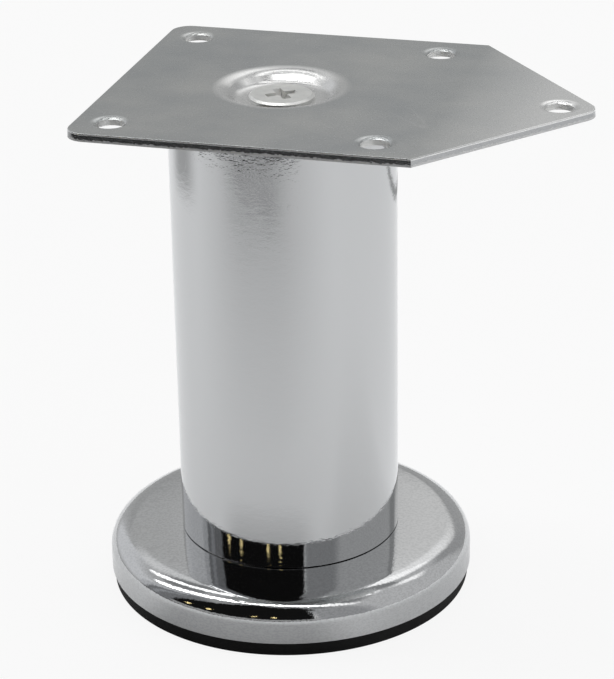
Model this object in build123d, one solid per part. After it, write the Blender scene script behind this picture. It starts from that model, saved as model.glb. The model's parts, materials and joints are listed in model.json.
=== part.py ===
from build123d import *
from math import cos, radians, sin, tan
import os

# Round chrome furniture leg: a steel tube with a pressed pentagon plate on top and a levelling foot below.
# Millimetres. The origin lies on the tube's axis at the underside of the pad, +Z is up, and the tip of
# the plate points along +X.

# Leg and tube
leg_height = 120.0
tube_od = 51.0
tube_wall = 1.2
tube_edge_round = 0.15

# Mounting plate: a square end, two obtuse shoulders, and slanted edges that meet at the apex of the tip
plate_thickness = 1.8
plate_width = 79.0
plate_back = 37.0
plate_shoulder = 38.5
plate_apex = 71.0
plate_corner_radius = 4.5
plate_tip_radius = 4.5
plate_edge_round = 0.25
plate_edge_draft = 3.0
hole_d = 6.3
hole_mouth_radius = 2.2
hole_mouth_tilt = 40.0
hole_span_x = 58.0
hole_span_y = 62.0
tip_hole_x = 62.0

# Dimple drawn into the plate for the centre screw: a shoulder, a straight wall and a bend back to the flat
# seat. Each radius is the one inside its bend.
dimple_d = 30.4
dimple_depth = 2.6
dimple_wall_tilt = 37.0
dimple_shoulder_radius = 3.6
dimple_seat_radius = 3.0
dimple_rim = 1.0
screw_hole_d = 8.6

# Centre screw with a wide flat head and a cross recess
screw_d = 8.0
screw_length = 20.0
screw_head_d = 14.6
screw_head_height = 1.0
screw_head_bevel = 0.6
screw_head_bevel_drop = 0.4
screw_tip_chamfer = 0.8
recess_across = 7.4
recess_slot = 1.9
recess_depth = 3.0
recess_floor_d = 2.8
recess_turn = 36.0

# Nuts and bolt, widths across the flats
m8_across_flats = 13.0
m8_nut_height = 6.5
m10_d = 10.0
m10_across_flats = 17.0
m10_nut_height = 8.0
m10_thin_nut_height = 5.0
bolt_head_height = 6.4
bolt_length = 50.0
bolt_tip_chamfer = 1.0
washer_od = 20.0
washer_thickness = 2.0
hex_chamfer_angle = 30.0

# Moulded plugs in the ends of the tube
plug_wall = 2.0
plug_rib_height = 0.6
plug_rib_width = 1.6
plug_rib_count = 12
plug_web_width = 1.6
plug_web_count = 6
boss_wall = 2.2
top_plug_length = 26.0
top_plug_seat = 4.5
bottom_plug_length = 32.0
bottom_plug_floor = 3.0
bottom_plug_seat = 4.0

# Foot: pad, moulded core and pressed cover. The cover is flat under the tube, then domed to the crown's
# tilt, and its rim turns down to the skirt in two arcs that meet at the rim's turn.
pad_thickness = 3.5
pad_inset = 0.6
pad_edge_round = 0.5
cover_d = 85.0
cover_wall = 1.0
cover_flat_margin = 0.5
crown_tilt = 2.0
rim_top_radius = 8.0
rim_side_radius = 4.1
rim_turn = 38.0
core_seat = 2.1
core_wall = 2.0
core_web_width = 1.6
core_web_count = 8

# Clearances, each on one side
fit_clearance = 0.1
hex_clearance = 0.1
thread_clearance = 0.05
bolt_hole_clearance = 0.3
clamp_clearance = 1.2
press_clearance = 0.05
seam_gap = 0.15

# Levels that follow, from the floor up
bolt_head_bottom = pad_thickness + fit_clearance
bolt_seat = bolt_head_bottom + bolt_head_height
core_top = bolt_seat + core_seat
cover_top = core_top + fit_clearance + cover_wall
tube_bottom = cover_top + seam_gap
clamp_nut_bottom = cover_top + washer_thickness
clamp_top = clamp_nut_bottom + m10_thin_nut_height + clamp_clearance
bottom_nut_top = clamp_top + m10_nut_height + hex_clearance
plate_under = leg_height - plate_thickness
seat_top = leg_height - dimple_depth
seat_under = seat_top - plate_thickness
top_nut_top = seat_under - fit_clearance - top_plug_seat

# Radii that follow
tube_outer = tube_od / 2
tube_inner = tube_outer - tube_wall
plug_body = tube_inner - press_clearance - plug_rib_height
cover_outer = cover_d / 2
crown_start = tube_outer + cover_flat_margin
rim_top_reach = rim_top_radius * (sin(radians(rim_turn)) - sin(radians(crown_tilt)))
rim_side_reach = rim_side_radius * (1 - sin(radians(rim_turn)))
crown_reach = cover_outer - crown_start - rim_top_reach - rim_side_reach
crown_radius = crown_reach / sin(radians(crown_tilt))
crown_drop = crown_radius * (1 - cos(radians(crown_tilt)))
bolt_hole = m10_d / 2 + bolt_hole_clearance
clamp_bore = washer_od / 2 + clamp_clearance
dimple_ring = dimple_d / 2 + dimple_rim
shoulder_bend = dimple_shoulder_radius + plate_thickness

# Length of the dimple's straight wall, from the depth that its two bends leave
bend_drop = (shoulder_bend + dimple_seat_radius) * (1 - cos(radians(dimple_wall_tilt)))
dimple_wall = (dimple_depth - bend_drop) / sin(radians(dimple_wall_tilt))


def corner_radius(across_flats):
    return across_flats / 2 / cos(radians(30))


def spun(outline):
    """Body turned about the leg's axis from a closed outline of radii and heights."""
    return revolve(Plane.XZ * make_face(outline), Axis.Z)


def turned(*corners):
    """Turned body with straight sides; each corner is a radius, a height and, if rounded, a fillet radius."""
    points = [corner[:2] for corner in corners]
    fillets = [corner[2] if len(corner) == 3 else 0 for corner in corners]
    return spun(FilletPolyline(*points, radius=fillets, close=True))


def spun_sheet(outer, inner):
    """Sheet turned about the leg's axis, between two lines that are closed at both ends."""
    return spun([*outer, Line(outer[-1] @ 1, inner[-1] @ 1), *inner, Line(outer[0] @ 0, inner[0] @ 0)])


def drum(radius, bottom, top):
    return Pos(0, 0, bottom) * Cylinder(radius, top - bottom, align=(Align.CENTER, Align.CENTER, Align.MIN))


def hexagon(across_flats, bottom, top):
    sketch = Plane.XY.offset(bottom) * RegularPolygon(across_flats / 2, 6, major_radius=False)
    return extrude(sketch, top - bottom)


def chamfered_hexagon(across_flats, bottom, top):
    """Hexagon prism with its corners turned off at both ends."""
    tip = corner_radius(across_flats)
    flat = across_flats / 2
    fall = (tip - flat) * tan(radians(hex_chamfer_angle))
    turned_off = turned(
        (0, bottom),
        (flat, bottom),
        (tip, bottom + fall),
        (tip, top - fall),
        (flat, top),
        (0, top),
    )
    return hexagon(across_flats, bottom, top) & turned_off


def hex_nut(across_flats, bore, bottom, top):
    return chamfered_hexagon(across_flats, bottom, top) - drum(bore, bottom, top)


def spokes(count, width, inner, outer, bottom, top):
    """Upright webs like the spokes of a wheel, from one radius to another."""
    size = (outer - inner, width, top - bottom)
    web = Pos(inner, 0, bottom) * Box(*size, align=(Align.MIN, Align.CENTER, Align.MIN))
    return [Rot(0, 0, 360 * step / count) * web for step in range(count)]


def crush_ribs(bottom, top):
    """Small upright ribs round a plug that grip the wall of the tube."""
    half_root = plug_wall / 2
    ring = drum(tube_inner - press_clearance, bottom, top)
    ribs = spokes(plug_rib_count, plug_rib_width, plug_body - half_root, tube_inner, bottom, top)
    return [rib & ring for rib in ribs]


def dimple_line(inset):
    """Line of the dimple from the plate to the screw hole, moved down into the sheet by the inset."""
    rim = Line((dimple_ring, leg_height - inset), (dimple_d / 2, leg_height - inset))
    shoulder = JernArc(rim @ 1, rim % 1, shoulder_bend - inset, dimple_wall_tilt)
    wall = Line(shoulder @ 1, shoulder @ 1 + (shoulder % 1) * dimple_wall)
    seat_bend = JernArc(wall @ 1, wall % 1, dimple_seat_radius + inset, -dimple_wall_tilt)
    seat = Line(seat_bend @ 1, (screw_hole_d / 2, seat_top - inset))
    return [rim, shoulder, wall, seat_bend, seat]


def hole_punch():
    """Body of a screw hole at the leg's axis; its mouth is rounded from the plate down to the mouth's tilt."""
    mouth = hole_d / 2 + hole_mouth_radius * sin(radians(hole_mouth_tilt))
    bottom = plate_under - plate_thickness
    rounding = JernArc((mouth, leg_height), (-1, 0), hole_mouth_radius, hole_mouth_tilt)
    walls = Polyline(rounding @ 1, (hole_d / 2, bottom), (0, bottom), (0, leg_height), (mouth, leg_height))
    return spun([rounding, walls])


def make_mount_plate():
    half = plate_width / 2
    outline = FilletPolyline(
        (-plate_back, -half),
        (plate_shoulder, -half),
        (plate_apex, 0),
        (plate_shoulder, half),
        (-plate_back, half),
        radius=[plate_corner_radius, 0, plate_tip_radius, 0, plate_corner_radius],
        close=True,
    )
    sheet = Plane.XY.offset(plate_under) * make_face(outline)
    plate = extrude(sheet, plate_thickness, taper=plate_edge_draft)
    plate = fillet(plate.faces().sort_by(Axis.Z)[-1].edges(), plate_edge_round)

    punch = hole_punch()
    for x in (-hole_span_x / 2, hole_span_x / 2):
        for y in (-hole_span_y / 2, hole_span_y / 2):
            plate -= Pos(x, y, 0) * punch
    plate -= Pos(tip_hole_x, 0, 0) * punch

    dimple = spun_sheet(dimple_line(0), dimple_line(plate_thickness))
    return plate - drum(dimple_ring, plate_under, leg_height) + dimple


def make_centre_screw():
    head_top = seat_top + screw_head_height
    tip = seat_top - screw_length
    screw = turned(
        (0, head_top),
        (screw_head_d / 2 - screw_head_bevel, head_top),
        (screw_head_d / 2, head_top - screw_head_bevel_drop),
        (screw_head_d / 2, seat_top),
        (screw_d / 2, seat_top),
        (screw_d / 2, tip + screw_tip_chamfer),
        (screw_d / 2 - screw_tip_chamfer, tip),
        (0, tip),
    )
    cross = Rectangle(recess_across, recess_slot) + Rectangle(recess_slot, recess_across)
    recess = extrude(Plane.XY.offset(head_top - recess_depth) * Rot(0, 0, recess_turn) * cross, recess_depth)
    taper = turned(
        (0, head_top - recess_depth),
        (recess_floor_d / 2, head_top - recess_depth),
        (recess_across / 2, head_top),
        (0, head_top),
    )
    return screw - (recess & taper)


def make_tube():
    return turned(
        (tube_inner, tube_bottom),
        (tube_outer, tube_bottom, tube_edge_round),
        (tube_outer, plate_under, tube_edge_round),
        (tube_inner, plate_under),
    )


def make_top_plug():
    """Cup with a recess for the dimple, a nut pocket from below and webs out to its wall."""
    top = plate_under - fit_clearance
    bottom = top - top_plug_length
    seat = seat_under - fit_clearance
    pocket = m8_across_flats + 2 * hex_clearance
    boss = corner_radius(pocket) + boss_wall
    nut_bottom = top_nut_top - m8_nut_height
    plug = turned(
        (screw_hole_d / 2, seat),
        (dimple_ring, seat),
        (dimple_ring, top),
        (plug_body, top),
        (plug_body, bottom),
        (plug_body - plug_wall, bottom),
        (plug_body - plug_wall, top_nut_top),
        (boss, top_nut_top),
        (boss, nut_bottom),
        (screw_hole_d / 2, nut_bottom),
    )
    root = plug_wall / 2
    webs = spokes(plug_web_count, plug_web_width, boss - root, plug_body - root, nut_bottom, top_nut_top)
    plug = plug + webs + crush_ribs(bottom, top)
    return plug - hexagon(pocket, nut_bottom, top_nut_top)


def make_top_nut():
    bore = screw_d / 2 + thread_clearance
    return hex_nut(m8_across_flats, bore, top_nut_top - m8_nut_height, top_nut_top)


def make_bottom_plug():
    """Cup flush with the tube, with a nut pocket above the clamp nut's room and webs out to its wall."""
    top = tube_bottom + bottom_plug_length
    floor_top = tube_bottom + bottom_plug_floor
    pocket = m10_across_flats + 2 * hex_clearance
    boss = clamp_bore + boss_wall
    boss_top = bottom_nut_top + bottom_plug_seat
    plug = turned(
        (bolt_hole, tube_bottom),
        (plug_body, tube_bottom),
        (plug_body, top),
        (plug_body - plug_wall, top),
        (plug_body - plug_wall, floor_top),
        (boss, floor_top),
        (boss, boss_top),
        (bolt_hole, boss_top),
    )
    root = plug_wall / 2
    webs = spokes(plug_web_count, plug_web_width, boss - root, plug_body - root, floor_top - root, boss_top)
    plug = plug + webs + crush_ribs(tube_bottom, top)
    return plug - drum(clamp_bore, tube_bottom, clamp_top) - hexagon(pocket, clamp_top, bottom_nut_top)


def make_bottom_nut():
    bore = m10_d / 2 + thread_clearance
    return hex_nut(m10_across_flats, bore, bottom_nut_top - m10_nut_height, bottom_nut_top)


def cover_line(inset):
    """Line of the cover from its bore to the foot of its skirt, moved inwards by the inset."""
    flat = Line((bolt_hole, cover_top - inset), (crown_start, cover_top - inset))
    crown = JernArc(flat @ 1, flat % 1, crown_radius - inset, -crown_tilt)
    rim_top = JernArc(crown @ 1, crown % 1, rim_top_radius - inset, crown_tilt - rim_turn)
    rim_side = JernArc(rim_top @ 1, rim_top % 1, rim_side_radius - inset, rim_turn - 90)
    skirt = Line(rim_side @ 1, (cover_outer - inset, pad_thickness))
    return [flat, crown, rim_top, rim_side, skirt]


def make_base_cover():
    return spun_sheet(cover_line(0), cover_line(cover_wall))


def make_foot_core():
    """Disc that fills the cover, hollow between its boss and its wall, with webs across the hollow."""
    inset = cover_wall + fit_clearance
    pocket = m10_across_flats + 2 * hex_clearance
    boss = corner_radius(pocket) + boss_wall
    wall = cover_outer - inset - core_wall
    hollow_top = core_top - crown_drop - core_seat
    outside = cover_line(inset)
    underside = Line(outside[-1] @ 1, (bolt_hole, pad_thickness))
    bore_wall = Line(underside @ 1, outside[0] @ 0)
    disc = spun([*outside, underside, bore_wall])
    hollow = drum(wall, pad_thickness, hollow_top) - drum(boss, pad_thickness, hollow_top)
    root = core_wall / 2
    webs = spokes(core_web_count, core_web_width, boss - root, wall + root, pad_thickness, hollow_top + root)
    core = disc - hollow + [web & disc for web in webs]
    return core - hexagon(pocket, pad_thickness, bolt_seat)


def make_levelling_bolt():
    tip = bolt_seat + bolt_length
    shank = turned(
        (0, bolt_seat),
        (m10_d / 2, bolt_seat),
        (m10_d / 2, tip - bolt_tip_chamfer),
        (m10_d / 2 - bolt_tip_chamfer, tip),
        (0, tip),
    )
    return chamfered_hexagon(m10_across_flats, bolt_head_bottom, bolt_seat) + shank


def make_clamp_washer():
    return drum(washer_od / 2, cover_top, clamp_nut_bottom) - drum(bolt_hole, cover_top, clamp_nut_bottom)


def make_clamp_nut():
    bore = m10_d / 2 + thread_clearance
    return hex_nut(m10_across_flats, bore, clamp_nut_bottom, clamp_nut_bottom + m10_thin_nut_height)


def make_rubber_pad():
    radius = cover_outer - pad_inset
    return turned((0, 0), (radius, 0, pad_edge_round), (radius, pad_thickness), (0, pad_thickness))


pieces = {
    "mount_plate": make_mount_plate(),
    "centre_screw": make_centre_screw(),
    "tube": make_tube(),
    "top_plug": make_top_plug(),
    "top_nut": make_top_nut(),
    "bottom_plug": make_bottom_plug(),
    "bottom_nut": make_bottom_nut(),
    "base_cover": make_base_cover(),
    "foot_core": make_foot_core(),
    "levelling_bolt": make_levelling_bolt(),
    "clamp_washer": make_clamp_washer(),
    "clamp_nut": make_clamp_nut(),
    "rubber_pad": make_rubber_pad(),
}

os.makedirs("parts", exist_ok=True)
for name, piece in pieces.items():
    export_step(piece, f"parts/{name}.step")
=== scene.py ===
import json
from math import acos, ceil, cos, radians, sin, tan

import bmesh
import bpy
from mathutils import Matrix, Vector


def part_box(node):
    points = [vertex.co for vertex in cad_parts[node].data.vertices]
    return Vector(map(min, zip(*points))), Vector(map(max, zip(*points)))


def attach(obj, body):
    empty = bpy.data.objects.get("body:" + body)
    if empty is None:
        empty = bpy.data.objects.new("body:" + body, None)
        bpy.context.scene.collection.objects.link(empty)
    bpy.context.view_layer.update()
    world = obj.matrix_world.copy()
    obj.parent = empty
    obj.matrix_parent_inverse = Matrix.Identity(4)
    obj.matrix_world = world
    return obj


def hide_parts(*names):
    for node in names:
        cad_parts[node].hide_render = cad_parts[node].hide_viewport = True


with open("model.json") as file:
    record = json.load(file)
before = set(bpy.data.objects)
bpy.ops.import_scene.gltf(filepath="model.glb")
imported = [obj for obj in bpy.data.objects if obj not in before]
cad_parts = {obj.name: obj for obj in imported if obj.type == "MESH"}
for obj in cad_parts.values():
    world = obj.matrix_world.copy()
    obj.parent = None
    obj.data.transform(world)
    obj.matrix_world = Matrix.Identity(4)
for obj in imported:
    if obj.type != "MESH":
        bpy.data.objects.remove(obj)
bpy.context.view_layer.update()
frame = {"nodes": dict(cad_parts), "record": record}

# Round chrome furniture leg: a tube under a zinc-plated screw plate, on a levelling foot with a rubber
# pad. Lengths are in metres, and MM turns millimetres into them. Angles are in degrees. In the studio,
# azimuth 0 is where the camera stands, positive to its right, and elevation is above the floor.
MM = 0.001

# Camera at the photograph's viewpoint
CAMERA_AZIMUTH = 15.764
CAMERA_ELEVATION = 23.947
CAMERA_ROLL = -1.007
CAMERA_DISTANCE = 588.47 * MM
CAMERA_AIM_SIDE = 4.641 * MM
CAMERA_AIM_HEIGHT = 58.958 * MM
CAMERA_LENS_MM = 135.79
CAMERA_SENSOR_MM = 36.0

# Turned pieces
STEPS_ROUND = 288
ROW_LENGTH = 4.0 * MM
EDGE_ROW = 0.12 * MM
FILLET_STEP = 10.0
SHARP_ANGLE = 35.0
SPINDLE_RADIUS = 1.0 * MM
MERGE_DISTANCE = 0.001 * MM

# Tube
TUBE_WALL = 1.2 * MM
TUBE_EDGE_ROUND = 0.15 * MM

# Pressed cover of the foot
COVER_WALL = 1.0 * MM
COVER_BORE_RADIUS = 5.3 * MM
COVER_FLAT_RADIUS = 26.0 * MM
COVER_CROWN_TILT = 2.0
COVER_RIM_TURN = 38.0
COVER_RIM_TOP_RADIUS = 8.0 * MM
COVER_RIM_SIDE_RADIUS = 4.1 * MM
COVER_CROWN_STEPS = 24
COVER_RIM_STEPS = 22

# Rubber pad
PAD_EDGE_ROUND = 0.5 * MM
PAD_TOP_ROUND = 0.25 * MM
PAD_CENTRE_RADIUS = SPINDLE_RADIUS / 2

# Levelling bolt
BOLT_ROD_RADIUS = 5.0 * MM
BOLT_THREAD_PITCH = 1.5 * MM
BOLT_THREAD_DEPTH = 0.8 * MM
BOLT_CREST_WIDTH = 0.2 * MM
BOLT_ROOT_WIDTH = 1.3 * MM
BOLT_TIP_LENGTH = 1.0 * MM
BOLT_STEPS_ROUND = 48
BOLT_HEAD_SIDES = 6
BOLT_HEAD_HEIGHT = 6.4 * MM
BOLT_HEAD_TURN = 90.0
BOLT_HEAD_BEVEL = 0.35 * MM
BOLT_BEVEL_STEPS = 3

# Noise in the finishes: the range that most of it lies in
NOISE_LOW = 0.3
NOISE_HIGH = 0.7

# Hairline scratches: how a noise is drawn out into lines, and the noise where they set in and are whole
HAIRLINE_DRAW = (0.08, 1.0, 0.5)
HAIRLINE_SETS_IN = 0.55
HAIRLINE_WHOLE = 0.65

# Mirror chrome; the pressed cover has more grain than the tube, and dull specks
CHROME_PLATING = (0.565, 0.57, 0.575, 1.0)
CHROME_SPECKS = (0.50, 0.505, 0.51, 1.0)
CHROME_SPECK_NOISE = (0.42, 0.62)
CHROME_HAZE_NOISE = (0.3, 0.75)
CHROME_HAZE = (0.02, 0.05)
CHROME_SCRATCH_ROUGHNESS = 0.12
CHROME_COVER_GRAIN = 2.5
CHROME_COVER_EDGE = 0.1 * MM
CHROME_WAVES = 5.0
CHROME_RELIEF = 0.003 * MM

# Satin zinc of the plate's face, brighter towards the tip; a painted highlight brightens the dimple
PLATE_DARK = (0.385, 0.40, 0.405, 1.0)
PLATE_LIGHT = (0.49, 0.495, 0.485, 1.0)
PLATE_SCRATCH = (0.56, 0.56, 0.56, 1.0)
PLATE_SCRATCH_SHARE = 0.35
PLATE_DIMPLE_HIGHLIGHT = (0.62, 0.62, 0.615, 1.0)
PLATE_DIMPLE_HIGHLIGHT_RADII = (14.0 * MM, 15.6 * MM)
PLATE_TIP = (0.78, 0.78, 0.775, 1.0)
PLATE_TIP_REACH = (38.0 * MM, 60.0 * MM)
PLATE_TIP_SHARE = 0.9
PLATE_ROUGHNESS = (0.19, 0.28)
PLATE_GRAIN = 0.6
PLATE_RELIEF = 0.003 * MM

# Cut edge of the plate, from above: rolled over, with a painted highlight on the rolled part, burnished by
# the punch, and broken off along a ragged line. Depths are below the face, and slopes are the upright part
# of the surface's direction.
EDGE_SLOPES = (0.25, 0.5)
EDGE_ROLLED_HIGHLIGHT = (0.88, 0.88, 0.88, 1.0)
EDGE_ROLLED_DEPTHS = (0.45 * MM, 0.30 * MM)
EDGE_ROLLED_ROUGHNESS = 0.5
EDGE_BURNISHED = (0.42, 0.425, 0.43, 1.0)
EDGE_BURNISHED_ROUGHNESS = 0.22
EDGE_BROKEN = (0.62, 0.62, 0.62, 1.0)
EDGE_BROKEN_ROUGHNESS = 0.55
EDGE_BREAK_DEPTHS = (1.45 * MM, 1.05 * MM)
EDGE_BREAK_BLUR = 0.12 * MM
EDGE_RAGGED_SIZE = 0.7 * MM
EDGE_RAGGED_RELIEF = 12.0
EDGE_GRAIN = 5.0

# Walls of the plate's screw holes
HOLE_WALL = (0.72, 0.72, 0.71, 1.0)
HOLE_ROUGHNESS = 0.55
HOLE_RING = (0.1 * MM, 0.3 * MM)

# Bright zinc of the screw, bolt, nuts and washer, and the cross recess of the screw, which is rougher
# and painted lighter to lift the shade in it
HARDWARE_DARK = (0.66, 0.665, 0.65, 1.0)
HARDWARE_LIGHT = (0.79, 0.79, 0.77, 1.0)
HARDWARE_SCRATCH = (0.86, 0.855, 0.83, 1.0)
HARDWARE_ROUGHNESS = (0.28, 0.42)
HARDWARE_RELIEF = 0.01 * MM
RECESS_PAINTED_LIGHT = (0.80, 0.80, 0.785, 1.0)
RECESS_ROUGHNESS = 0.7
RECESS_RADII = (4.2 * MM, 4.4 * MM)
RECESS_DEPTHS = (0.10 * MM, 0.04 * MM)

# Black mouldings: how far their tone and their roughness vary
MOULDED_GLOSS = 0.2
MOULDED_CLOUD_SIZE = 8.0 * MM
MOULDED_TONE_SPREAD = 0.3
MOULDED_ROUGHNESS_SPREAD = 0.08

# Parts of the studio that the metal mirrors, each over those before it: the azimuth that it goes by, from
# the camera or from behind the leg, its limits, the elevation's limits, softness across and upwards, and
# the light's colour
STUDIO = [
    ("front", 14, 50, -90, 66, 6, 8, (0.43, 0.435, 0.445, 1.0)),
    ("rear", -22, 50, -90, 26.5, 8, 2.5, (0.49, 0.495, 0.495, 1.0)),
    ("rear", -70, -2, 26.5, 32, 8, 2.5, (0.57, 0.575, 0.57, 1.0)),
    ("rear", 33, 48, 5, 40, 4, 4, (0.45, 0.455, 0.46, 1.0)),
    ("rear", 0, 31, 24, 33, 5, 3, (0.87, 0.87, 0.865, 1.0)),
    ("rear", 15, 29, 27, 35, 6, 3, (1.05, 1.05, 1.045, 1.0)),
    ("rear", -34, 3, 34, 45, 8, 4, (0.92, 0.925, 0.93, 1.0)),
    ("rear", 3, 30, 32, 41, 4, 2.5, (1.20, 1.20, 1.20, 1.0)),
    ("rear", 3, 30, 41, 54, 5, 2, (1.60, 1.60, 1.60, 1.0)),
    ("rear", 48, 61, 46, 57, 4, 4, (1.60, 1.60, 1.60, 1.0)),
    ("rear", -60, -2, 47, 62, 8, 2, (0.30, 0.305, 0.31, 1.0)),
    ("rear", 2, 50, 55, 64, 8, 1.5, (0.34, 0.345, 0.35, 1.0)),
    ("front", -180, 180, 66, 91, 1, 4, (0.34, 0.345, 0.35, 1.0)),
    ("front", -154, -100, 6, 36, 3, 6, (0.84, 0.85, 0.87, 1.0)),
    ("front", -101, -72, -90, 62, 3, 8, (0.25, 0.255, 0.265, 1.0)),
    ("front", -106, -98, 2, 56, 1.5, 6, (0.66, 0.67, 0.69, 1.0)),
    ("front", -93, -88, 2, 50, 1.2, 6, (0.40, 0.41, 0.43, 1.0)),
    ("front", 10, 21, 60, 76, 3, 4, (0.03, 0.03, 0.03, 1.0)),
    ("front", -77, 14, -90, 9, 1.5, 2, (0.45, 0.45, 0.45, 1.0)),
    ("front", -77, 14, 9, 80, 1.5, 2, (0.010, 0.010, 0.010, 1.0)),
    ("front", 14, 15.5, 4, 40, 0.6, 6, (0.80, 0.80, 0.80, 1.0)),
]
STUDIO_LEFT = (0.60, 0.605, 0.61, 1.0)
STUDIO_RIGHT = (0.70, 0.705, 0.71, 1.0)

# White that the camera sees behind the leg and on the floor
WHITE = 0.955

# Strings of small lamps in the dark part of the studio: their azimuths, half their width, the elevations
# that they run between, the spacing of their bulbs, the noise between an unlit and a lit place, and the
# light's share in an unlit one
LAMP_STRINGS = (-67.5, -53.0, -23.2, -11.0)
LAMP_HALF_WIDTH = 1.2
LAMP_RUN = (19.0, 26.0)
LAMP_SPACING = 1.0
LAMP_NOISE = (0.46, 0.62)
LAMP_UNLIT_SHARE = 0.05
LAMP_LIGHT = (6.0, 4.8, 2.3, 1.0)

# Strip lamps on the ceiling, on a plane one unit above the leg where x runs to the camera's right: how
# far each lies towards the camera, half its width, its left and right end, and its light. They lean, and
# they fade out where the ceiling is low.
STRIP_LEAN = 0.45
STRIP_SOFTNESS = 0.03
STRIP_END_SOFTNESS = 3 * STRIP_SOFTNESS
STRIP_FADE = (0.2, 0.25)
STRIP_LEAST_RISE = 0.1
STRIPS = [
    (-0.40, 0.08, -0.80, 0.42, (2.6, 2.6, 2.6, 1.0)),
    (0.02, 0.06, 0.10, 0.48, (1.6, 1.6, 1.6, 1.0)),
    (0.02, 0.06, -1.05, 0.16, (6.5, 6.5, 6.5, 1.0)),
]

# Floor: its own light, and what the camera sees of the shadow on it
FLOOR_HALF = 3.0
FLOOR_DROP = 0.05 * MM
FLOOR_PAPER = (0.96, 0.965, 0.97, 1.0)
FLOOR_DARK = (0.0, 0.0, 0.0, 1.0)
FLOOR_LAMP_SHARE = 0.25
FLOOR_SHADOW_SHARE = 0.08
FLOOR_OPEN_LIGHT = 0.74

# Shades on the floor: azimuth limits and softness, the distances between which the shade sets in, and the
# share of light that is left
FLOOR_SHADES = [
    (-66, 20, 34, 20 * MM, 60 * MM, 0.90),
    (-66, 20, 34, 110 * MM, 260 * MM, 0.80),
    (-55, 16, 12, 82 * MM, 44 * MM, 0.54),
    (-132, -100, 12, 270 * MM, 300 * MM, 0.55),
    (-100, 14, 6, 340 * MM, 346 * MM, 0.01),
]

# One more shade, broken into specks: as above, then the turn and the reach of a speck, the noise between
# clear and speckled floor, and the strength of a speck
FLOOR_SPECKLED = (-54, -2, 15, 240 * MM, 300 * MM, 0.79)
FLOOR_SPECKLE_TURN = 80.0
FLOOR_SPECKLE_REACH = 11.0 * MM
FLOOR_SPECKLE_NOISE = (0.46, 0.54)
FLOOR_SPECKLE_STRENGTH = 2.0

# Dark line across the floor: the azimuth that it faces, its near and far side, softness and light left
FLOOR_LINE = (155.0, 256 * MM, 268 * MM, 4 * MM, 0.40)


# Outlines of turned pieces: lists of (radius, height)

def fillet_points(before, corner, after, radius):
    """Points of the arc that rounds one corner of an outline."""
    back = (before - corner).normalized()
    ahead = (after - corner).normalized()
    half = acos(max(-1.0, min(1.0, back.dot(ahead)))) / 2
    reach = radius / tan(half)
    centre = corner + (back + ahead).normalized() * (radius / sin(half))
    start = corner + back * reach - centre
    turn = start.angle_signed(corner + ahead * reach - centre)
    steps = max(2, ceil(abs(turn) / radians(FILLET_STEP)))
    return [centre + Matrix.Rotation(-turn * step / steps, 2) @ start for step in range(steps + 1)]


def with_rows(points):
    """Closed outline whose long straight runs are divided, with a row close to each end."""
    rows = []
    for here, there in zip(points, points[1:] + points[:1]):
        rows.append(here)
        length = (there - here).length
        if length > 4 * EDGE_ROW:
            inner = length - 2 * EDGE_ROW
            count = max(1, ceil(inner / ROW_LENGTH))
            for step in range(count + 1):
                rows.append(here.lerp(there, (EDGE_ROW + inner * step / count) / length))
    return rows


def turned_outline(*corners):
    """Outline with straight sides; each corner is a radius, a height and a fillet radius."""
    places = [Vector(corner[:2]) for corner in corners]
    points = []
    for index, (place, corner) in enumerate(zip(places, corners)):
        after = places[(index + 1) % len(places)]
        if corner[2] > 0:
            points += fillet_points(places[index - 1], place, after, corner[2])
        else:
            points.append(place)
    return with_rows(points)


def tangent_arcs(start, arcs):
    """Points along arcs that follow each other; each is a radius, a first and a last tilt, and steps."""
    points = [Vector(start)]
    for radius, first, last, steps in arcs:
        base = points[-1]
        for step in range(1, steps + 1):
            tilt = radians(first + (last - first) * step / steps)
            out = radius * (sin(tilt) - sin(radians(first)))
            drop = radius * (cos(radians(first)) - cos(tilt))
            points.append(base + Vector((out, -drop)))
    return points


def tube_outline():
    low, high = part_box("tube")
    outer = high.x
    inner = outer - TUBE_WALL
    return turned_outline(
        (inner, low.z, TUBE_EDGE_ROUND),
        (outer, low.z, TUBE_EDGE_ROUND),
        (outer, high.z, TUBE_EDGE_ROUND),
        (inner, high.z, TUBE_EDGE_ROUND),
    )


def cover_side(inset):
    """One face of the cover, from its bore to the foot of its skirt."""
    low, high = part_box("base_cover")
    turn = sin(radians(COVER_RIM_TURN))
    tilt = sin(radians(COVER_CROWN_TILT))
    rim_reach = COVER_RIM_TOP_RADIUS * (turn - tilt) + COVER_RIM_SIDE_RADIUS * (1 - turn)
    crown_radius = (high.x - COVER_FLAT_RADIUS - rim_reach) / tilt
    arcs = [
        (crown_radius - inset, 0, COVER_CROWN_TILT, COVER_CROWN_STEPS),
        (COVER_RIM_TOP_RADIUS - inset, COVER_CROWN_TILT, COVER_RIM_TURN, COVER_RIM_STEPS),
        (COVER_RIM_SIDE_RADIUS - inset, COVER_RIM_TURN, 90, COVER_RIM_STEPS),
    ]
    bore = Vector((COVER_BORE_RADIUS, high.z - inset))
    foot = Vector((high.x - inset, low.z))
    return [bore, *tangent_arcs((COVER_FLAT_RADIUS, high.z - inset), arcs), foot]


def cover_outline():
    return with_rows(cover_side(0) + cover_side(COVER_WALL)[::-1])


def pad_outline():
    low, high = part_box("rubber_pad")
    return turned_outline(
        (PAD_CENTRE_RADIUS, low.z, 0),
        (high.x, low.z, PAD_EDGE_ROUND),
        (high.x, high.z, PAD_TOP_ROUND),
        (PAD_CENTRE_RADIUS, high.z, 0),
    )


# Nodes

def input_socket(node, label):
    """Input of a node by its name, or by its number where the label is an underscore and digits."""
    if label[1:].isdigit():
        return node.inputs[int(label[1:])]
    return node.inputs[label.replace("_", " ")]


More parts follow.
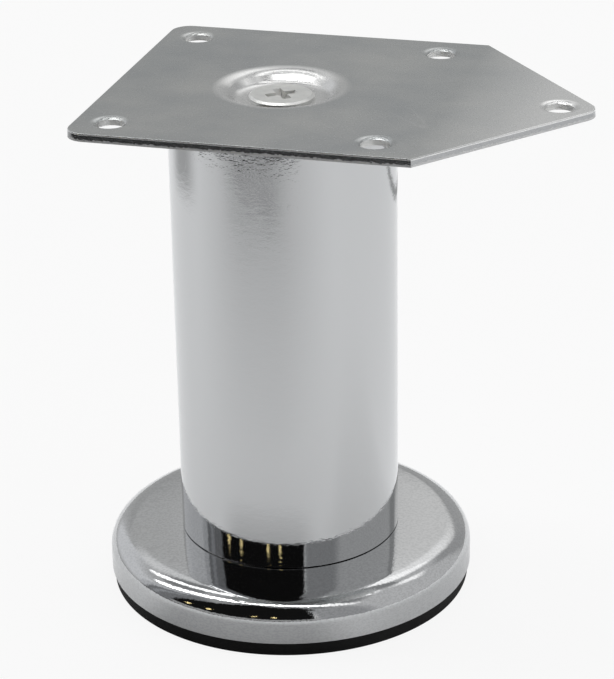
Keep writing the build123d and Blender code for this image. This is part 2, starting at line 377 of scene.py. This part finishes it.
def add_node(tree, kind, settings=None, **inputs):
    """Node with its settings; an input is a value, or the socket that feeds it."""
    node = tree.nodes.new(kind)
    for label, value in (settings or {}).items():
        setattr(node, label, value)
    for label, value in inputs.items():
        socket = input_socket(node, label)
        if isinstance(value, bpy.types.NodeSocket):
            tree.links.new(value, socket)
        else:
            socket.default_value = value
    return node


def calc(tree, operation, first, second=0.0, third=0.0):
    settings = {"operation": operation}
    return add_node(tree, "ShaderNodeMath", settings, _0=first, _1=second, _2=third).outputs[0]


def vector_calc(tree, operation, first, second=(0.0, 0.0, 0.0)):
    """Node that works on vectors; its outputs are Vector and Value."""
    settings = {"operation": operation}
    return add_node(tree, "ShaderNodeVectorMath", settings, _0=first, _1=second).outputs


def vector_of(tree, **axes):
    return add_node(tree, "ShaderNodeCombineXYZ", **axes).outputs[0]


def axes_of(tree, vector):
    return add_node(tree, "ShaderNodeSeparateXYZ", Vector=vector).outputs


def turned_about_z(tree, vector, angle):
    settings = {"rotation_type": "Z_AXIS"}
    return add_node(tree, "ShaderNodeVectorRotate", settings, Vector=vector, Angle=angle).outputs[0]


# Geometry Nodes

def geometry_tree(name, **inputs):
    """Empty tree with a geometry output and the named inputs; returns it with its two end nodes."""
    tree = bpy.data.node_groups.new(name, "GeometryNodeTree")
    for label, kind in inputs.items():
        tree.interface.new_socket(label.replace("_", " "), in_out="INPUT", socket_type=kind)
    tree.interface.new_socket("Piece", in_out="OUTPUT", socket_type="NodeSocketGeometry")
    return tree, tree.nodes.new("NodeGroupInput"), tree.nodes.new("NodeGroupOutput")


def moved(tree, geometry, **change):
    return add_node(tree, "GeometryNodeTransform", Geometry=geometry, **change).outputs[0]


def joined(tree, *parts):
    join = tree.nodes.new("GeometryNodeJoinGeometry")
    for part in parts:
        tree.links.new(part, join.inputs[0])
    return join.outputs[0]


def finish_tree(tree, outlet, geometry, finish):
    """Ends a tree as a plain mesh with its material."""
    smooth = add_node(tree, "GeometryNodeSetShadeSmooth", Geometry=geometry)
    real = add_node(tree, "GeometryNodeRealizeInstances", Geometry=smooth.outputs[0])
    dressed = add_node(tree, "GeometryNodeSetMaterial", Geometry=real.outputs[0], Material=finish)
    tree.links.new(dressed.outputs[0], outlet.inputs[0])


def lathe_tree():
    """Turns the object's own outline, radius along x and height along y, about the leg's axis."""
    tree, inlet, outlet = geometry_tree(
        "turned_on_lathe",
        Outline="NodeSocketGeometry",
        Steps_Round="NodeSocketInt",
        Spindle_Radius="NodeSocketFloat",
        Finish="NodeSocketMaterial",
    )
    sockets = inlet.outputs
    line = add_node(tree, "GeometryNodeMeshToCurve", Mesh=sockets["Outline"])
    inward = calc(tree, "MULTIPLY", sockets["Spindle Radius"], -1.0)
    upright = moved(
        tree, line.outputs[0], Translation=vector_of(tree, X=inward), Scale=(1.0, -1.0, 1.0)
    )
    spindle = add_node(
        tree,
        "GeometryNodeCurvePrimitiveCircle",
        Resolution=sockets["Steps Round"],
        Radius=sockets["Spindle Radius"],
    )
    swept = add_node(tree, "GeometryNodeCurveToMesh", Curve=spindle.outputs[0], Profile_Curve=upright)
    finish_tree(tree, outlet, swept.outputs[0], sockets["Finish"])
    return tree


def thread_tree():
    """Threaded rod on the base that it is given: a core and a ridge wound round it."""
    tree, inlet, outlet = geometry_tree(
        "threaded_rod",
        Base="NodeSocketGeometry",
        Length="NodeSocketFloat",
        Pitch="NodeSocketFloat",
        Core_Radius="NodeSocketFloat",
        Ridge_Depth="NodeSocketFloat",
        Crest_Width="NodeSocketFloat",
        Root_Width="NodeSocketFloat",
        Bottom="NodeSocketFloat",
        Steps_Round="NodeSocketInt",
        Finish="NodeSocketMaterial",
    )
    sockets = inlet.outputs
    half_depth = calc(tree, "MULTIPLY", sockets["Ridge Depth"], 0.5)
    middle = calc(tree, "ADD", sockets["Core Radius"], half_depth)
    helix = add_node(
        tree,
        "GeometryNodeCurveSpiral",
        Resolution=sockets["Steps Round"],
        Rotations=calc(tree, "DIVIDE", sockets["Length"], sockets["Pitch"]),
        Start_Radius=middle,
        End_Radius=middle,
        Height=sockets["Length"],
    )
    level = add_node(tree, "GeometryNodeSetCurveNormal", {"mode": "Z_UP"}, Curve=helix.outputs[0])
    ridge = add_node(
        tree,
        "GeometryNodeCurvePrimitiveQuadrilateral",
        {"mode": "TRAPEZOID"},
        Height=sockets["Ridge Depth"],
        Bottom_Width=sockets["Root Width"],
        Top_Width=sockets["Crest Width"],
        Offset=0.0,
    )
    outward = moved(tree, ridge.outputs[0], Rotation=(0.0, 0.0, radians(-90)))
    wound = add_node(
        tree,
        "GeometryNodeCurveToMesh",
        Curve=level.outputs[0],
        Profile_Curve=outward,
        Fill_Caps=True,
    )
    core = add_node(
        tree,
        "GeometryNodeMeshCylinder",
        Vertices=sockets["Steps Round"],
        Radius=sockets["Core Radius"],
        Depth=sockets["Length"],
    )
    half_length = calc(tree, "MULTIPLY", sockets["Length"], 0.5)
    raised = moved(tree, core.outputs["Mesh"], Translation=vector_of(tree, Z=half_length))
    rod = joined(tree, wound.outputs[0], raised)
    placed = moved(tree, rod, Translation=vector_of(tree, Z=sockets["Bottom"]))
    finish_tree(tree, outlet, joined(tree, placed, sockets["Base"]), sockets["Finish"])
    return tree


def made_by_tree(name, mesh, tree, **values):
    """Object whose mesh is what the tree makes of the given mesh."""
    piece = bpy.data.objects.new(name, mesh)
    bpy.context.scene.collection.objects.link(piece)
    modifier = piece.modifiers.new("form", "NODES")
    modifier.node_group = tree
    for socket in tree.interface.items_tree:
        label = socket.name.replace(" ", "_")
        if label in values:
            modifier[socket.identifier] = values[label]
    depsgraph = bpy.context.evaluated_depsgraph_get()
    made = bpy.data.meshes.new_from_object(piece.evaluated_get(depsgraph))
    piece.modifiers.clear()
    piece.data = made
    made.name = name
    return piece


# Pieces

def clean_mesh(mesh):
    """Closes seams, turns faces outwards and keeps the sharp edges sharp."""
    shape = bmesh.new()
    shape.from_mesh(mesh)
    bmesh.ops.remove_doubles(shape, verts=shape.verts, dist=MERGE_DISTANCE)
    bmesh.ops.recalc_face_normals(shape, faces=shape.faces)
    shape.to_mesh(mesh)
    shape.free()
    mesh.set_sharp_from_angle(angle=radians(SHARP_ANGLE))


def settle(piece, node, body):
    """The piece stands for a CAD node and moves with its body."""
    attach(piece, body)
    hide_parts(node)


def turned_piece(name, outline, finish, tree):
    mesh = bpy.data.meshes.new(name)
    count = len(outline)
    edges = [(index, (index + 1) % count) for index in range(count)]
    mesh.from_pydata([(point.x, point.y, 0.0) for point in outline], edges, [])
    piece = made_by_tree(
        name, mesh, tree, Steps_Round=STEPS_ROUND, Spindle_Radius=SPINDLE_RADIUS, Finish=finish
    )
    clean_mesh(piece.data)
    return piece


def bolt_head_mesh():
    """Hexagon head with its edges bevelled."""
    low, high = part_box("levelling_bolt")
    shape = bmesh.new()
    middle = Matrix.Translation((0, 0, low.z + BOLT_HEAD_HEIGHT / 2))
    bmesh.ops.create_cone(
        shape,
        cap_ends=True,
        segments=BOLT_HEAD_SIDES,
        radius1=high.x,
        radius2=high.x,
        depth=BOLT_HEAD_HEIGHT,
        matrix=middle @ Matrix.Rotation(radians(BOLT_HEAD_TURN), 4, "Z"),
    )
    bmesh.ops.bevel(
        shape,
        geom=shape.edges,
        offset=BOLT_HEAD_BEVEL,
        segments=BOLT_BEVEL_STEPS,
        affect="EDGES",
        profile=0.5,
    )
    mesh = bpy.data.meshes.new("bolt_head")
    shape.to_mesh(mesh)
    shape.free()
    return mesh


def levelling_bolt_piece(finish, tree):
    low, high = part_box("levelling_bolt")
    bottom = low.z + BOLT_HEAD_HEIGHT
    piece = made_by_tree(
        "threaded_levelling_bolt",
        bolt_head_mesh(),
        tree,
        Length=high.z - bottom - BOLT_TIP_LENGTH,
        Pitch=BOLT_THREAD_PITCH,
        Core_Radius=BOLT_ROD_RADIUS - BOLT_THREAD_DEPTH,
        Ridge_Depth=BOLT_THREAD_DEPTH,
        Crest_Width=BOLT_CREST_WIDTH,
        Root_Width=BOLT_ROOT_WIDTH,
        Bottom=bottom,
        Steps_Round=BOLT_STEPS_ROUND,
        Finish=finish,
    )
    piece.data.set_sharp_from_angle(angle=radians(SHARP_ANGLE))
    return piece


# Parts of finishes

def mapped(tree, value, low, high, to_low, to_high):
    """Value brought from one range to another, held at its ends."""
    node = add_node(
        tree,
        "ShaderNodeMapRange",
        {"clamp": True},
        Value=value,
        From_Min=low,
        From_Max=high,
        To_Min=to_low,
        To_Max=to_high,
    )
    return node.outputs["Result"]


def between(tree, share, first, second):
    """Value from the first to the second as the share goes from 0 to 1."""
    return mapped(tree, share, 0.0, 1.0, first, second)


def spread(tree, texture, first, second):
    """Noise brought from the range that most of it lies in to another range."""
    return mapped(tree, texture, NOISE_LOW, NOISE_HIGH, first, second)


def mixed(tree, share, first, second):
    """Colour between two colours; a Mix node's inputs 6 and 7 and its output 2 are its colours."""
    settings = {"data_type": "RGBA"}
    return add_node(tree, "ShaderNodeMix", settings, Factor=share, _6=first, _7=second).outputs[2]


def noise(tree, place, scale, detail):
    return add_node(tree, "ShaderNodeTexNoise", Vector=place, Scale=scale, Detail=detail).outputs[0]


def own_place(tree):
    return add_node(tree, "ShaderNodeTexCoord").outputs["Object"]


def shader_group(name, inputs, outputs):
    tree = bpy.data.node_groups.new(name, "ShaderNodeTree")
    for label, value in inputs.items():
        socket = tree.interface.new_socket(label, in_out="INPUT", socket_type="NodeSocketFloat")
        socket.default_value = value
    for label in outputs:
        tree.interface.new_socket(label, in_out="OUTPUT", socket_type="NodeSocketFloat")
    return tree, tree.nodes.new("NodeGroupInput").outputs, tree.nodes.new("NodeGroupOutput").inputs


def surface_grain_group():
    """Soft clouds and fine grain, each with its size; the stretch draws both out along the leg."""
    tree, inlet, outlet = shader_group(
        "surface_grain",
        {"Cloud Size": 12 * MM, "Grain Size": 0.6 * MM, "Stretch": 1.0},
        ["Clouds", "Grain"],
    )
    drawn = vector_of(tree, X=1.0, Y=1.0, Z=calc(tree, "DIVIDE", 1.0, inlet["Stretch"]))
    spot = vector_calc(tree, "MULTIPLY", own_place(tree), drawn)["Vector"]
    for label, size, detail in (("Clouds", "Cloud Size", 3.0), ("Grain", "Grain Size", 2.0)):
        frequency = calc(tree, "DIVIDE", 1.0, inlet[size])
        tree.links.new(noise(tree, spot, frequency, detail), outlet[label])
    return tree


def hairline_group():
    """Sparse hairline scratches: thin contour lines of a drawn-out noise, kept only in patches."""
    tree, inlet, outlet = shader_group(
        "hairlines",
        {"Spacing": 6 * MM, "Width": 0.012, "Turn": 0.6},
        ["Scratches"],
    )
    turned = turned_about_z(tree, own_place(tree), inlet["Turn"])
    drawn = vector_calc(tree, "MULTIPLY", turned, HAIRLINE_DRAW)["Vector"]
    frequency = calc(tree, "DIVIDE", 1.0, inlet["Spacing"])
    lines = noise(tree, drawn, frequency, 1.0)
    distance = calc(tree, "ABSOLUTE", calc(tree, "SUBTRACT", lines, 0.5))
    thin = mapped(tree, distance, 0.0, inlet["Width"], 1.0, 0.0)
    patches = noise(tree, turned, frequency, 1.0)
    kept = mapped(tree, patches, HAIRLINE_SETS_IN, HAIRLINE_WHOLE, 0.0, 1.0)
    tree.links.new(calc(tree, "MULTIPLY", thin, kept), outlet["Scratches"])
    return tree


def new_finish(name, **constants):
    """Material with a Principled shader; the constants are its own sockets."""
    material = bpy.data.materials.new(name)
    material.use_nodes = True
    shader = material.node_tree.nodes["Principled BSDF"]
    for label, value in constants.items():
        input_socket(shader, label).default_value = value
    return material, material.node_tree, shader


def placed_group(tree, group, **values):
    return add_node(tree, "ShaderNodeGroup", {"node_tree": group}, **values).outputs


def bumped(tree, shader, height, depth):
    """Surface relief of the given depth."""
    bump = add_node(tree, "ShaderNodeBump", Strength=1.0, Distance=depth, Height=height)
    tree.links.new(bump.outputs["Normal"], shader.inputs["Normal"])


# Finishes

def chrome_finish(grain, hairlines):
    """Mirror chrome with a light haze, a few scratches and waves, and more grain on the cover."""
    material, tree, shader = new_finish("mirror_chrome", Metallic=1.0)
    texture = placed_group(tree, grain, Cloud_Size=2.4 * MM, Grain_Size=0.6 * MM, Stretch=0.5)
    scratches = placed_group(tree, hairlines, Spacing=9 * MM, Width=0.006, Turn=0.3)["Scratches"]
    haze = mapped(tree, texture["Clouds"], *CHROME_HAZE_NOISE, *CHROME_HAZE)
    rough = calc(tree, "MULTIPLY_ADD", scratches, CHROME_SCRATCH_ROUGHNESS, haze)
    tree.links.new(rough, shader.inputs["Roughness"])

    height = axes_of(tree, own_place(tree))["Z"]
    cover_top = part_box("base_cover")[1].z
    pressed = mapped(tree, height, cover_top, cover_top + CHROME_COVER_EDGE, 1.0, 0.0)
    grainy = calc(tree, "MULTIPLY", texture["Grain"], between(tree, pressed, 1.0, CHROME_COVER_GRAIN))
    relief = calc(tree, "MULTIPLY_ADD", texture["Clouds"], CHROME_WAVES, grainy)
    bumped(tree, shader, relief, CHROME_RELIEF)
    dull = mapped(tree, texture["Grain"], *CHROME_SPECK_NOISE, 0.0, 1.0)
    specks = calc(tree, "MULTIPLY", pressed, dull)
    plating = mixed(tree, specks, CHROME_PLATING, CHROME_SPECKS)
    tree.links.new(plating, shader.inputs["Base Color"])
    return material


def in_screw_holes(tree, flat):
    """1 in the plate's screw holes and 0 elsewhere, for a place on the level of the floor."""
    mounts = {mount["name"]: mount for mount in frame["record"]["mounts"]}
    pattern = mounts["plate_screws"]["dims"]
    corner = (pattern["spacing_x_mm"] * MM / 2, pattern["spacing_y_mm"] * MM / 2, 0.0)
    tip = (*mounts["tip_screw"]["pos_m"][:2], 0.0)
    wall = pattern["hole_r_mm"] * MM
    quarter = vector_calc(tree, "ABSOLUTE", flat)["Vector"]
    to_corner = vector_calc(tree, "DISTANCE", quarter, corner)["Value"]
    to_tip = vector_calc(tree, "DISTANCE", flat, tip)["Value"]
    nearest = calc(tree, "MINIMUM", to_corner, to_tip)
    inner, outer = HOLE_RING
    return mapped(tree, nearest, wall + inner, wall + outer, 1.0, 0.0)


def zinc_plate_finish(grain, hairlines):
    """Satin zinc plating, cloudy and scratched, with painted highlights on the dimple and the cut edges'
    rolled top, brighter at the tip.
    """
    material, tree, shader = new_finish("zinc_plate", Metallic=1.0)
    texture = placed_group(tree, grain, Cloud_Size=16 * MM, Grain_Size=0.5 * MM, Stretch=1.0)
    scratches = placed_group(tree, hairlines, Spacing=14 * MM, Width=0.004, Turn=0.9)["Scratches"]
    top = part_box("mount_plate")[1].z
    place = own_place(tree)
    axes = axes_of(tree, place)
    flat = vector_of(tree, X=axes["X"], Y=axes["Y"])

    satin = mixed(tree, spread(tree, texture["Clouds"], 0.0, 1.0), PLATE_DARK, PLATE_LIGHT)
    faint = calc(tree, "MULTIPLY", scratches, PLATE_SCRATCH_SHARE)
    scratched = mixed(tree, faint, satin, PLATE_SCRATCH)
    # The face is brighter towards the tip.
    tip = mapped(tree, axes["X"], *PLATE_TIP_REACH, 0.0, PLATE_TIP_SHARE)
    zinc_tone = mixed(tree, tip, scratched, PLATE_TIP)
    aside = vector_calc(tree, "LENGTH", flat)["Value"]
    # Painted highlight: the dimple and its shoulder are painted brighter, standing in for the light that
    # they mirror.
    drawn = mapped(tree, aside, *PLATE_DIMPLE_HIGHLIGHT_RADII, 1.0, 0.0)
    face = mixed(tree, drawn, zinc_tone, PLATE_DIMPLE_HIGHLIGHT)

    normal = add_node(tree, "ShaderNodeNewGeometry").outputs["True Normal"]
    slope = calc(tree, "ABSOLUTE", axes_of(tree, normal)["Z"])
    edge = mapped(tree, slope, *EDGE_SLOPES, 1.0, 0.0)
    ragged = noise(tree, place, 1 / EDGE_RAGGED_SIZE, 3.0)
    break_line = spread(tree, ragged, *(top - depth for depth in EDGE_BREAK_DEPTHS))
    below_break = calc(tree, "SUBTRACT", break_line, axes["Z"])
    broken = mapped(tree, below_break, 0.0, EDGE_BREAK_BLUR, 0.0, 1.0)
    # Painted highlight: the rolled top of the cut edge is painted bright.
    rolled = mapped(tree, axes["Z"], *(top - depth for depth in EDGE_ROLLED_DEPTHS), 0.0, 1.0)
    sheared = mixed(tree, broken, EDGE_BURNISHED, EDGE_BROKEN)
    cut = mixed(tree, rolled, sheared, EDGE_ROLLED_HIGHLIGHT)
    hole = in_screw_holes(tree, flat)
    edges = mixed(tree, hole, cut, HOLE_WALL)
    tree.links.new(mixed(tree, edge, face, edges), shader.inputs["Base Color"])

    face_rough = spread(tree, texture["Grain"], *PLATE_ROUGHNESS)
    sheared_rough = between(tree, broken, EDGE_BURNISHED_ROUGHNESS, EDGE_BROKEN_ROUGHNESS)
    rolled_rough = between(tree, rolled, 0.0, EDGE_ROLLED_ROUGHNESS)
    hole_rough = between(tree, hole, 0.0, HOLE_ROUGHNESS)
    edge_rough = calc(tree, "MAXIMUM", calc(tree, "MAXIMUM", sheared_rough, rolled_rough), hole_rough)
    tree.links.new(between(tree, edge, face_rough, edge_rough), shader.inputs["Roughness"])

    grainy = calc(tree, "MULTIPLY", texture["Grain"], between(tree, edge, PLATE_GRAIN, EDGE_GRAIN))
    edge_relief = calc(tree, "MULTIPLY", ragged, edge)
    relief = calc(tree, "MULTIPLY_ADD", edge_relief, EDGE_RAGGED_RELIEF, grainy)
    bumped(tree, shader, relief, PLATE_RELIEF)
    return material


def zinc_hardware_finish(grain, hairlines):
    """Bright zinc plating, scratched; the screw's cross recess is dull and painted lighter against its
    shade.
    """
    material, tree, shader = new_finish("zinc_hardware", Metallic=1.0)
    texture = placed_group(tree, grain, Cloud_Size=3 * MM, Grain_Size=0.3 * MM, Stretch=1.0)
    scratches = placed_group(tree, hairlines, Spacing=3 * MM, Width=0.01, Turn=2.1)["Scratches"]
    clouds = spread(tree, texture["Clouds"], 0.0, 1.0)
    zinc_tone = mixed(tree, scratches, mixed(tree, clouds, HARDWARE_DARK, HARDWARE_LIGHT), HARDWARE_SCRATCH)

    head_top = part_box("centre_screw")[1].z
    place = own_place(tree)
    from_middle = vector_calc(tree, "DISTANCE", place, (0.0, 0.0, head_top))["Value"]
    central = mapped(tree, from_middle, *RECESS_RADII, 1.0, 0.0)
    height = axes_of(tree, place)["Z"]
    sunk = mapped(tree, height, *(head_top - depth for depth in RECESS_DEPTHS), 1.0, 0.0)
    recess = calc(tree, "MULTIPLY", central, sunk)
    # Painted light: the cross recess is painted lighter, to lift the shade that falls in it.
    tree.links.new(mixed(tree, recess, zinc_tone, RECESS_PAINTED_LIGHT), shader.inputs["Base Color"])
    rough = spread(tree, texture["Grain"], *HARDWARE_ROUGHNESS)
    dulled = calc(tree, "MAXIMUM", rough, between(tree, recess, 0.0, RECESS_ROUGHNESS))
    tree.links.new(dulled, shader.inputs["Roughness"])
    bumped(tree, shader, texture["Grain"], HARDWARE_RELIEF)
    return material


def moulded_finish(name, grain, tone, grain_size, rough, depth):
    """Black moulding: nylon or rubber."""
    material, tree, shader = new_finish(name, Specular_IOR_Level=MOULDED_GLOSS)
    texture = placed_group(tree, grain, Cloud_Size=MOULDED_CLOUD_SIZE, Grain_Size=grain_size, Stretch=1.0)
    low = tone * (1 - MOULDED_TONE_SPREAD)
    high = tone * (1 + MOULDED_TONE_SPREAD)
    clouds = spread(tree, texture["Clouds"], 0.0, 1.0)
    colour = mixed(tree, clouds, (low, low, low, 1.0), (high, high, high, 1.0))
    tree.links.new(colour, shader.inputs["Base Color"])
    roughness = spread(
        tree, texture["Grain"], rough - MOULDED_ROUGHNESS_SPREAD, rough + MOULDED_ROUGHNESS_SPREAD
    )
    tree.links.new(roughness, shader.inputs["Roughness"])
    bumped(tree, shader, texture["Grain"], depth)
    return material


# Studio

def soft_step(tree, value, limit, softness, before, after):
    """Value that goes softly from one to another about a limit."""
    node = add_node(
        tree,
        "ShaderNodeMapRange",
        {"interpolation_type": "SMOOTHSTEP"},
        Value=value,
        From_Min=limit - softness,
        From_Max=limit + softness,
        To_Min=before,
        To_Max=after,
    )
    return node.outputs["Result"]


def soft_window(tree, value, low, high, softness):
    """1 between two limits, falling softly to 0 outside them."""
    rise = soft_step(tree, value, low, softness, 0.0, 1.0)
    fall = soft_step(tree, value, high, softness, 1.0, 0.0)
    return calc(tree, "MULTIPLY", rise, fall)


def studio_angles(tree, direction):
    """Azimuth from the camera, azimuth from behind the leg and elevation of a direction, and its parts to
    the camera's right, towards the camera and up."""
    axes = axes_of(tree, turned_about_z(tree, direction, radians(-CAMERA_AZIMUTH)))
    to_front = calc(tree, "MULTIPLY", axes["Y"], -1.0)
    front = calc(tree, "DEGREES", calc(tree, "ARCTAN2", axes["X"], to_front))
    rear = calc(tree, "DEGREES", calc(tree, "ARCTAN2", axes["X"], axes["Y"]))
    rise = calc(tree, "DEGREES", calc(tree, "ARCSINE", axes["Z"]))
    return front, rear, rise, (axes["X"], to_front, axes["Z"])


def studio_walls(tree, front, rear, rise):
    """Soft panels and dark parts of the studio, over a tone that goes from left to right."""
    sideways = mapped(tree, calc(tree, "SINE", calc(tree, "RADIANS", front)), -1.0, 1.0, 0.0, 1.0)
    light = mixed(tree, sideways, STUDIO_LEFT, STUDIO_RIGHT)
    for side, left, right, low, high, soft_across, soft_up, colour in STUDIO:
        across = soft_window(tree, front if side == "front" else rear, left, right, soft_across)
        upwards = soft_window(tree, rise, low, high, soft_up)
        light = mixed(tree, calc(tree, "MULTIPLY", across, upwards), light, colour)
    return light


def with_lamp_strings(tree, light, front, rise):
    spot = vector_of(tree, X=front, Y=rise)
    bulbs = mapped(tree, noise(tree, spot, 1 / LAMP_SPACING, 1.0), *LAMP_NOISE, LAMP_UNLIT_SHARE, 1.0)
    run = calc(tree, "MULTIPLY", soft_window(tree, rise, *LAMP_RUN, LAMP_HALF_WIDTH), bulbs)
    for turn in LAMP_STRINGS:
        left = turn - LAMP_HALF_WIDTH
        right = turn + LAMP_HALF_WIDTH
        string = soft_window(tree, front, left, right, LAMP_HALF_WIDTH / 2)
        light = mixed(tree, calc(tree, "MULTIPLY", string, run), light, LAMP_LIGHT)
    return light


def with_strip_lamps(tree, light, to_right, to_front, up):
    overhead = mapped(tree, up, *STRIP_FADE, 0.0, 1.0)
    height = calc(tree, "MAXIMUM", up, STRIP_LEAST_RISE)
    along = calc(tree, "DIVIDE", to_right, height)
    forward = calc(tree, "DIVIDE", to_front, height)
    beside = calc(tree, "SUBTRACT", forward, calc(tree, "MULTIPLY", along, STRIP_LEAN))
    for place, half, left, right, colour in STRIPS:
        width = soft_window(tree, beside, place - half, place + half, STRIP_SOFTNESS)
        length = soft_window(tree, along, left, right, STRIP_END_SOFTNESS)
        strip = calc(tree, "MULTIPLY", calc(tree, "MULTIPLY", width, length), overhead)
        light = mixed(tree, strip, light, colour)
    return light


def light_studio():
    """World that is plain white to the camera and a studio to everything else."""
    world = bpy.data.worlds.new("studio")
    world.use_nodes = True
    bpy.context.scene.world = world
    tree = world.node_tree
    direction = add_node(tree, "ShaderNodeTexCoord").outputs["Generated"]
    front, rear, rise, parts = studio_angles(tree, direction)
    light = studio_walls(tree, front, rear, rise)
    light = with_lamp_strings(tree, light, front, rise)
    light = with_strip_lamps(tree, light, *parts)
    seen = add_node(tree, "ShaderNodeLightPath").outputs["Is Camera Ray"]
    shown = mixed(tree, seen, light, (WHITE, WHITE, WHITE, 1.0))
    tree.links.new(shown, tree.nodes["Background"].inputs["Color"])


# Floor

def floor_paper(tree):
    """Paper of the floor as the metal mirrors it, shaded by direction and distance from the leg."""
    place = own_place(tree)
    distance = vector_calc(tree, "LENGTH", place)["Value"]
    front = studio_angles(tree, place)[0]
    turn = calc(tree, "DIVIDE", front, FLOOR_SPECKLE_TURN)
    reach = calc(tree, "DIVIDE", distance, FLOOR_SPECKLE_REACH)
    speckle = noise(tree, vector_of(tree, X=turn, Y=reach), 1.0, 2.0)
    specks = mapped(tree, speckle, *FLOOR_SPECKLE_NOISE, 0.0, FLOOR_SPECKLE_STRENGTH)
    level = 1.0
    for shade in [FLOOR_SPECKLED, *FLOOR_SHADES]:
        left, right, softness, start, end, share = shade
        window = soft_window(tree, front, left, right, softness)
        amount = calc(tree, "MULTIPLY", window, mapped(tree, distance, start, end, 0.0, 1.0 - share))
        if shade is FLOOR_SPECKLED:
            amount = calc(tree, "MULTIPLY", amount, specks)
        level = calc(tree, "MULTIPLY", level, calc(tree, "SUBTRACT", 1.0, amount))
    facing, near, far, softness, share = FLOOR_LINE
    aside = calc(tree, "COSINE", calc(tree, "RADIANS", calc(tree, "SUBTRACT", front, facing)))
    line = soft_window(tree, calc(tree, "MULTIPLY", distance, aside), near, far, softness)
    level = calc(tree, "MULTIPLY", level, between(tree, line, 1.0, share))
    return mixed(tree, level, FLOOR_DARK, FLOOR_PAPER)


def either_shader(tree, share, first, second):
    return add_node(tree, "ShaderNodeMixShader", _0=share, _1=first, _2=second).outputs[0]


def both_shaders(tree, first, second):
    return add_node(tree, "ShaderNodeAddShader", _0=first, _1=second).outputs[0]


def floor_finish():
    """Pale paper that the metal mirrors, white with a faint shadow to the camera, and clear from below."""
    material = bpy.data.materials.new("pale_floor")
    material.use_nodes = True
    tree = material.node_tree
    tree.nodes.clear()
    paper = floor_paper(tree)
    lit = add_node(tree, "ShaderNodeBsdfDiffuse", Color=paper).outputs[0]
    lamp = add_node(tree, "ShaderNodeEmission", Color=paper, Strength=FLOOR_LAMP_SHARE).outputs[0]
    share = FLOOR_SHADOW_SHARE
    shaded = add_node(tree, "ShaderNodeBsdfDiffuse", Color=(share, share, share, 1.0)).outputs[0]
    glow = add_node(
        tree,
        "ShaderNodeEmission",
        Color=(1.0, 1.0, 1.0, 1.0),
        Strength=WHITE - share * FLOOR_OPEN_LIGHT,
    ).outputs[0]
    seen = add_node(tree, "ShaderNodeLightPath").outputs["Is Camera Ray"]
    above = either_shader(tree, seen, both_shaders(tree, lit, lamp), both_shaders(tree, shaded, glow))
    below = add_node(tree, "ShaderNodeNewGeometry").outputs["Backfacing"]
    clear = add_node(tree, "ShaderNodeBsdfTransparent").outputs[0]
    whole = either_shader(tree, calc(tree, "MULTIPLY", seen, below), above, clear)
    add_node(tree, "ShaderNodeOutputMaterial", Surface=whole)
    return material


def lay_floor():
    mesh = bpy.data.meshes.new("floor")
    corners = [(-1, -1), (1, -1), (1, 1), (-1, 1)]
    points = [(x * FLOOR_HALF, y * FLOOR_HALF, -FLOOR_DROP) for x, y in corners]
    mesh.from_pydata(points, [], [(0, 1, 2, 3)])
    floor = bpy.data.objects.new("floor", mesh)
    bpy.context.scene.collection.objects.link(floor)
    mesh.materials.append(floor_finish())


def place_camera():
    azimuth = radians(CAMERA_AZIMUTH)
    elevation = radians(CAMERA_ELEVATION)
    roll = radians(CAMERA_ROLL)
    right = Vector((cos(azimuth), sin(azimuth), 0))
    back = Vector((sin(azimuth) * cos(elevation), -cos(azimuth) * cos(elevation), sin(elevation)))
    up = back.cross(right)
    aim = right * CAMERA_AIM_SIDE + Vector((0, 0, CAMERA_AIM_HEIGHT))
    rolled_right = right * cos(roll) + up * sin(roll)
    rolled_up = up * cos(roll) - right * sin(roll)
    axes = Matrix((rolled_right, rolled_up, back)).transposed()
    data = bpy.data.cameras.new("camera")
    data.lens = CAMERA_LENS_MM
    data.sensor_width = CAMERA_SENSOR_MM
    camera = bpy.data.objects.new("camera", data)
    camera.matrix_world = Matrix.Translation(aim + back * CAMERA_DISTANCE) @ axes.to_4x4()
    bpy.context.scene.collection.objects.link(camera)
    bpy.context.scene.camera = camera


# The leg

grain = surface_grain_group()
hairlines = hairline_group()
finishes = {
    "chrome": chrome_finish(grain, hairlines),
    "zinc_plate": zinc_plate_finish(grain, hairlines),
    "zinc_hardware": zinc_hardware_finish(grain, hairlines),
    "nylon": moulded_finish(
        "black_nylon", grain, tone=0.020, grain_size=0.4 * MM, rough=0.45, depth=0.010 * MM
    ),
    "rubber": moulded_finish(
        "black_rubber", grain, tone=0.006, grain_size=0.25 * MM, rough=0.70, depth=0.020 * MM
    ),
}

for subpart in frame["record"]["subparts"]:
    for material_slot in frame["nodes"][subpart["node"]].material_slots:
        material_slot.link = "OBJECT"
        material_slot.material = finishes[subpart["material_slot"]]

lathe = lathe_tree()
for name, outline, node, body, slot in (
    ("chrome_tube", tube_outline(), "tube", "leg", "chrome"),
    ("chrome_cover", cover_outline(), "base_cover", "foot", "chrome"),
    ("foot_pad", pad_outline(), "rubber_pad", "foot", "rubber"),
):
    settle(turned_piece(name, outline, finishes[slot], lathe), node, body)
bolt = levelling_bolt_piece(finishes["zinc_hardware"], thread_tree())
settle(bolt, "levelling_bolt", "foot")

lay_floor()
light_studio()
place_camera()
bpy.context.scene.view_settings.view_transform = "Standard"
